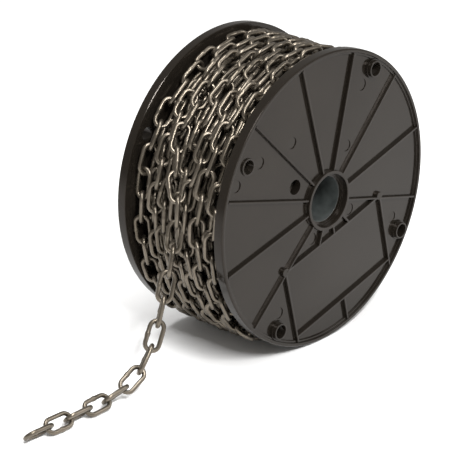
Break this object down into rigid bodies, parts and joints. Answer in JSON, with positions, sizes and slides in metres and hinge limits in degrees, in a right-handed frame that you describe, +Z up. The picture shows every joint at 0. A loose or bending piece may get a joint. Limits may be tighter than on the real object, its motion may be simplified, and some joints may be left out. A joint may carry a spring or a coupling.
{
  "type": "reel of steel chain",
  "caption": "Ribbed black plastic reel standing on its rims, wound with welded short-link steel chain, its free end hanging off and lying on the floor.",
  "frame": {"origin": "on the floor, at the middle of the whole part's footprint", "axes": "+X along the reel's axle, out of the face with the label pocket that the picture shows; +Z up; the free end of the chain points to -Y"},
  "size_m": [0.097, 0.3338, 0.2002],
  "materials": {
    "reel_plastic": "satin black moulding",
    "chain_steel": "bright drawn steel, slightly brown"
  },
  "bodies": {
    "root": {"flange_front": "reel_plastic", "flange_back": "reel_plastic", "chain_winding": "chain_steel", "link_01": "chain_steel", "link_02": "chain_steel", "link_03": "chain_steel", "link_04": "chain_steel", "link_05": "chain_steel", "link_06": "chain_steel", "link_07": "chain_steel", "link_08": "chain_steel", "link_09": "chain_steel", "link_10": "chain_steel", "link_11": "chain_steel", "link_12": "chain_steel", "link_13": "chain_steel"}
  },
  "joints": []
}
